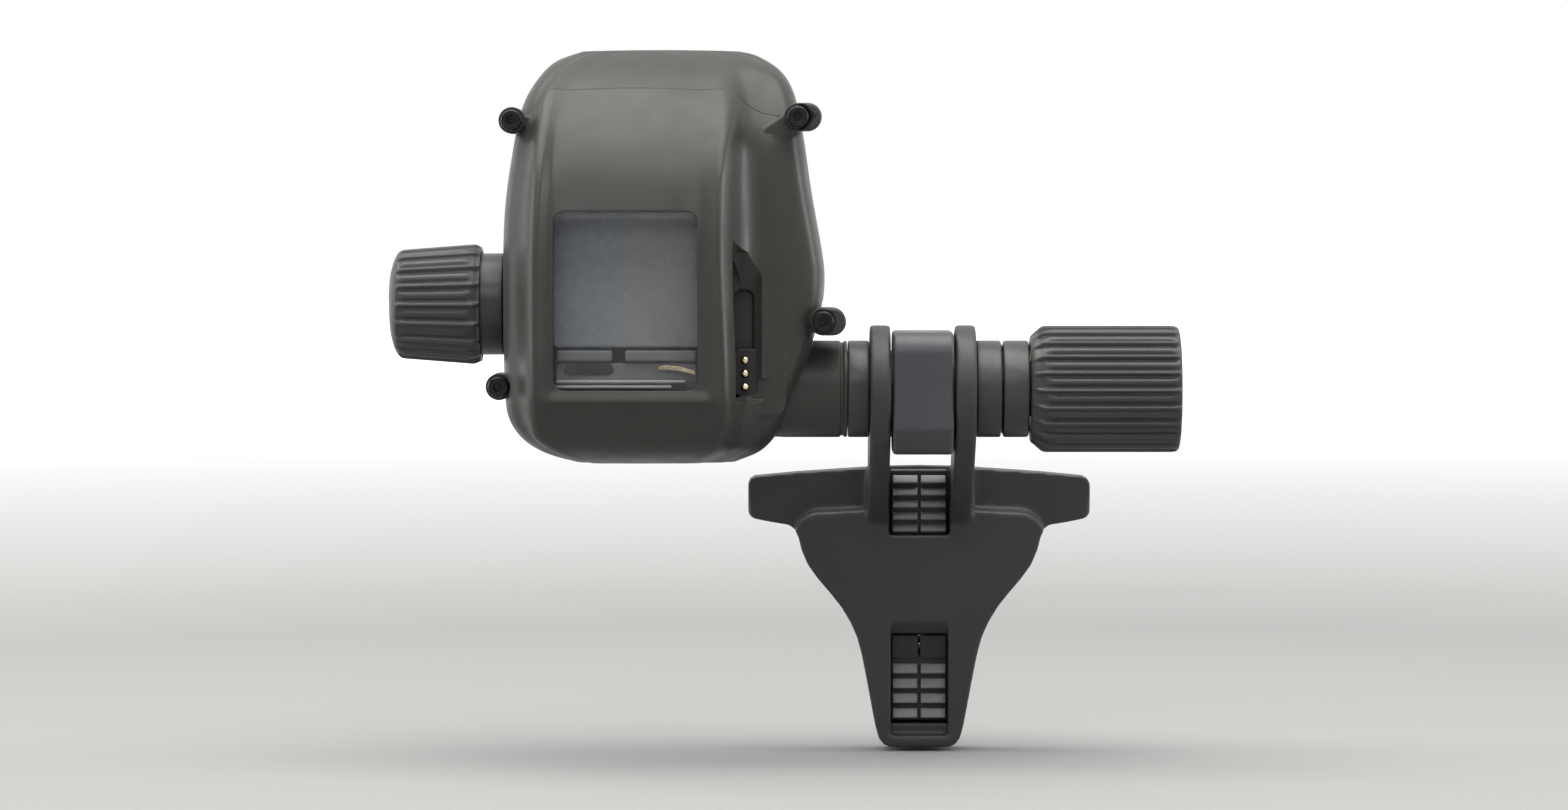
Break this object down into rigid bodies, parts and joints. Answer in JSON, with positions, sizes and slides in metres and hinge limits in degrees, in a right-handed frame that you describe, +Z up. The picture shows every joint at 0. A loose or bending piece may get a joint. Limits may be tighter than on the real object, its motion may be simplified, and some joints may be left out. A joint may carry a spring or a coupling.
{
  "type": "dive computer",
  "caption": "Head-up dive computer: a display housing with a push wheel, hinged by an axle and clamping knob to a forked bracket that latches onto a diving mask.",
  "frame": {"origin": "on the bracket's flat back, which meets the mask, at its middle", "axes": "+Z up with the computer flipped up, +Y into the mask, so the wearer's face is on the +Y side, +X along the flip axle towards the clamping knob"},
  "size_m": [0.1142, 0.0454, 0.1024],
  "materials": {
    "shell": "satin moulded plastic, warm dark grey",
    "bracket": "matte moulded plastic, fine grain, dark grey",
    "knuckle": "satin plastic, bluish grey",
    "knob": "satin plastic, greenish dark grey",
    "rubber": "black, matte",
    "steel": "plain stainless",
    "alloy": "machined, clear anodised",
    "black_steel": "blackened stainless screws",
    "brass": "machined",
    "gold": "gold-plated contacts",
    "window": "glossy smoked clear plastic",
    "lens": "clear, polished",
    "board": "green circuit board",
    "cell": "wrapped cell",
    "display": "glossy black screen"
  },
  "bodies": {
    "bracket": {"mask_bridge": "bracket", "back_plate": "bracket", "bridge_screw_1": "steel", "bridge_screw_2": "steel", "bridge_screw_3": "steel", "bridge_screw_4": "steel", "hinge_knuckle": "knuckle", "knuckle_pin": "steel", "friction_bush": "rubber", "inner_friction_ring": "knob", "outer_friction_ring": "knob", "upper_latch_spring": "steel", "lower_latch_spring": "steel"},
    "computer": {"front_cover": "shell", "rear_housing": "shell", "housing_seal": "rubber", "cover_screw_1": "black_steel", "cover_screw_2": "black_steel", "cover_screw_3": "black_steel", "cover_screw_4": "black_steel", "eye_window": "window", "window_seal": "rubber", "eyepiece_prism": "lens", "light_sensor": "display", "sensor_flex": "gold", "display_carrier": "knob", "display_module": "display", "main_board": "board", "battery_cell": "cell", "pressure_sensor": "steel", "sensor_cover": "shell", "contact_block": "knob", "contact_pin_1": "gold", "contact_pin_2": "gold", "contact_pin_3": "gold", "swing_axle": "alloy", "axle_pin": "steel", "axle_stop_screw": "black_steel", "wave_washer": "steel", "wheel_bush": "knob", "bush_nut": "brass", "wheel_return_spring": "steel", "push_switch": "knob"},
    "wheel_slider": {"spring_seat": "steel"},
    "wheel": {"push_wheel": "knob", "wheel_screw": "black_steel", "wheel_shaft": "steel", "wheel_o_ring_1": "rubber", "wheel_o_ring_2": "rubber", "shaft_clip": "steel"},
    "knob_slider": {"pressure_ring": "knob"},
    "knob": {"lock_knob": "knob", "knob_insert": "brass", "knob_end_cap": "knob"},
    "upper_latch": {"upper_latch": "knuckle"},
    "lower_latch": {"lower_latch": "knuckle"}
  },
  "joints": [
    {"name": "flip_hinge", "type": "hinge", "parent": "bracket", "child": "computer", "pos_m": [0, -0.024, 0.031], "axis": [1, 0, 0], "range_deg": [-15, 165]},
    {"name": "wheel_push", "type": "slide", "parent": "computer", "child": "wheel_slider", "axis": [1, 0, 0], "range_m": [0, 0.0015], "stiffness_N_per_m": 600, "springref_m": -0.001, "deforming": ["wheel_return_spring"]},
    {"name": "wheel_turn", "type": "hinge", "parent": "wheel_slider", "child": "wheel", "pos_m": [-0.07, -0.0215, 0.0432], "axis": [1, 0, 0], "continuous": true},
    {"name": "knob_travel", "type": "slide", "parent": "computer", "child": "knob_slider", "axis": [1, 0, 0], "range_m": [0, 0.001]},
    {"name": "knob_turn", "type": "hinge", "parent": "knob_slider", "child": "knob", "pos_m": [0.026, -0.024, 0.031], "axis": [1, 0, 0], "range_deg": [0, 459]},
    {"name": "upper_release", "type": "slide", "parent": "bracket", "child": "upper_latch", "axis": [0, 0, -1], "range_m": [0, 0.0022], "stiffness_N_per_m": 400, "springref_m": -0.001, "deforming": ["upper_latch_spring"]},
    {"name": "lower_release", "type": "slide", "parent": "bracket", "child": "lower_latch", "axis": [0, 0, 1], "range_m": [0, 0.0025], "stiffness_N_per_m": 400, "springref_m": -0.001, "deforming": ["lower_latch_spring"]}
  ],
  "couplings": [
    {"joint": "knob_turn", "follows": "knob_travel", "rad_per_m": 7854}
  ]
}
